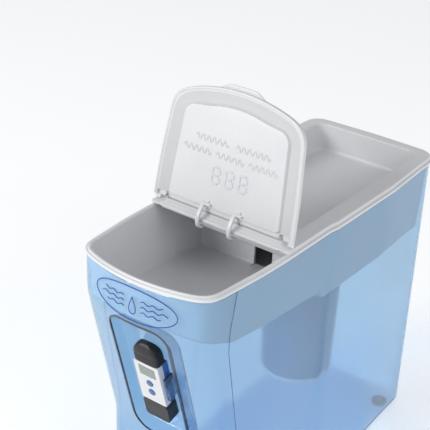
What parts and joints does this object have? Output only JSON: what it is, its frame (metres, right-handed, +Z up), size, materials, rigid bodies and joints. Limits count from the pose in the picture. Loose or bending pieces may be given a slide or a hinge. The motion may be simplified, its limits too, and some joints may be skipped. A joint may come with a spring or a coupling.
{
  "type": "countertop water dispenser",
  "caption": "Slim gravity water dispenser with a tinted tank, inner reservoir and filter, hinged filling flap, push tap and stored water tester.",
  "frame": {"origin": "on the counter under the middle of the dispenser's overall length and width", "axes": "+Z up, -Y towards the tap and nose, +X to the right seen from the front"},
  "size_m": [0.138, 0.3746, 0.3731],
  "materials": {
    "tank_blue": "clear, lightly blue tinted, polished",
    "reservoir_grey": "satin moulded",
    "lid_white": "satin moulded",
    "filter_blue": "smooth moulded",
    "filter_white": "satin moulded",
    "filter_pad": "non-woven felt",
    "carbon": "granular",
    "resin": "fine beads",
    "silicone": "smooth silicone",
    "tester_black": "satin moulded",
    "tap_blue": "smooth moulded",
    "steel": "bright drawn",
    "rubber": "matt",
    "board_green": "lacquered board",
    "display_window": "polished"
  },
  "bodies": {
    "tank": {"tank": "tank_blue", "foot_front_left": "rubber", "foot_front_right": "rubber", "foot_rear_left": "rubber", "foot_rear_right": "rubber", "tap_body": "tap_blue", "tap_bonnet": "lid_white", "tap_pivot_pin": "steel", "tap_spring": "steel", "tap_outer_washer": "rubber", "tap_inner_washer": "rubber", "tap_nut": "lid_white"},
    "reservoir": {"reservoir": "reservoir_grey"},
    "rear_cover": {"rear_cover": "lid_white"},
    "fill_flap": {"fill_flap": "lid_white"},
    "filter_seal": {"filter_seal": "silicone"},
    "filter": {"filter_housing": "filter_blue", "filter_inlet_cap": "filter_white", "filter_base": "filter_white", "filter_coarse_pad": "filter_pad", "filter_foam_disc": "filter_pad", "filter_carbon_bed": "carbon", "filter_resin_bed": "resin", "filter_fine_pad": "filter_pad"},
    "tap_lever": {"tap_lever": "tap_blue"},
    "tap_stem": {"tap_stem": "filter_white", "tap_valve_seal": "silicone"},
    "tester": {"tester_battery_cap": "tester_black", "tester_front_case": "lid_white", "tester_back_case": "tap_blue", "tester_circuit_board": "board_green", "tester_display_window": "display_window", "tester_cell_upper": "steel", "tester_cell_lower": "steel", "tester_probe_head": "tester_black", "tester_probe_left": "steel", "tester_probe_right": "steel"},
    "tester_probe_cap": {"tester_probe_cap": "tester_black"},
    "power_button": {"tester_power_button": "tap_blue"},
    "hold_button": {"tester_hold_button": "tap_blue"}
  },
  "joints": [
    {"name": "reservoir_lift", "type": "slide", "parent": "tank", "child": "reservoir", "axis": [0, 0, 1], "range_m": [0, 0.21]},
    {"name": "rear_cover_lift", "type": "slide", "parent": "reservoir", "child": "rear_cover", "axis": [0, 0, 1], "range_m": [0, 0.06]},
    {"name": "flap_hinge", "type": "hinge", "parent": "rear_cover", "child": "fill_flap", "pos_m": [0, -0.04925, 0.2667], "axis": [1, 0, 0], "range_deg": [0, 100.9]},
    {"name": "filter_drop", "type": "slide", "parent": "reservoir", "child": "filter_seal", "axis": [0, 0, -1], "range_m": [0, 0.03]},
    {"name": "filter_twist", "type": "hinge", "parent": "filter_seal", "child": "filter", "pos_m": [0, 0.07775, 0.181], "axis": [0, 0, 1], "range_deg": [0, 90]},
    {"name": "tap_lever_press", "type": "hinge", "parent": "tank", "child": "tap_lever", "pos_m": [0, -0.16525, 0.084], "axis": [1, 0, 0], "range_deg": [0, 22], "stiffness_Nm_per_rad": 0.15, "springref_deg": -28.65},
    {"name": "tap_stem_lift", "type": "slide", "parent": "tank", "child": "tap_stem", "axis": [0, 0, 1], "range_m": [0, 0.0031], "deforming": ["tap_spring"]},
    {"name": "tester_slide", "type": "slide", "parent": "tank", "child": "tester", "axis": [0, -0.9598, -0.2807], "range_m": [0, 0.03]},
    {"name": "tester_cap_pull", "type": "slide", "parent": "tester", "child": "tester_probe_cap", "axis": [0, 0.2807, -0.9598], "range_m": [0, 0.02]},
    {"name": "power_button_press", "type": "slide", "parent": "tester", "child": "power_button", "axis": [0, 0.9598, 0.2807], "range_m": [0, 0.0006], "stiffness_N_per_m": 300, "springref_m": -0.001},
    {"name": "hold_button_press", "type": "slide", "parent": "tester", "child": "hold_button", "axis": [0, 0.9598, 0.2807], "range_m": [0, 0.0006], "stiffness_N_per_m": 300, "springref_m": -0.001}
  ],
  "couplings": [
    {"joint": "tap_stem_lift", "follows": "tap_lever_press", "m_per_rad": 0.008}
  ]
}
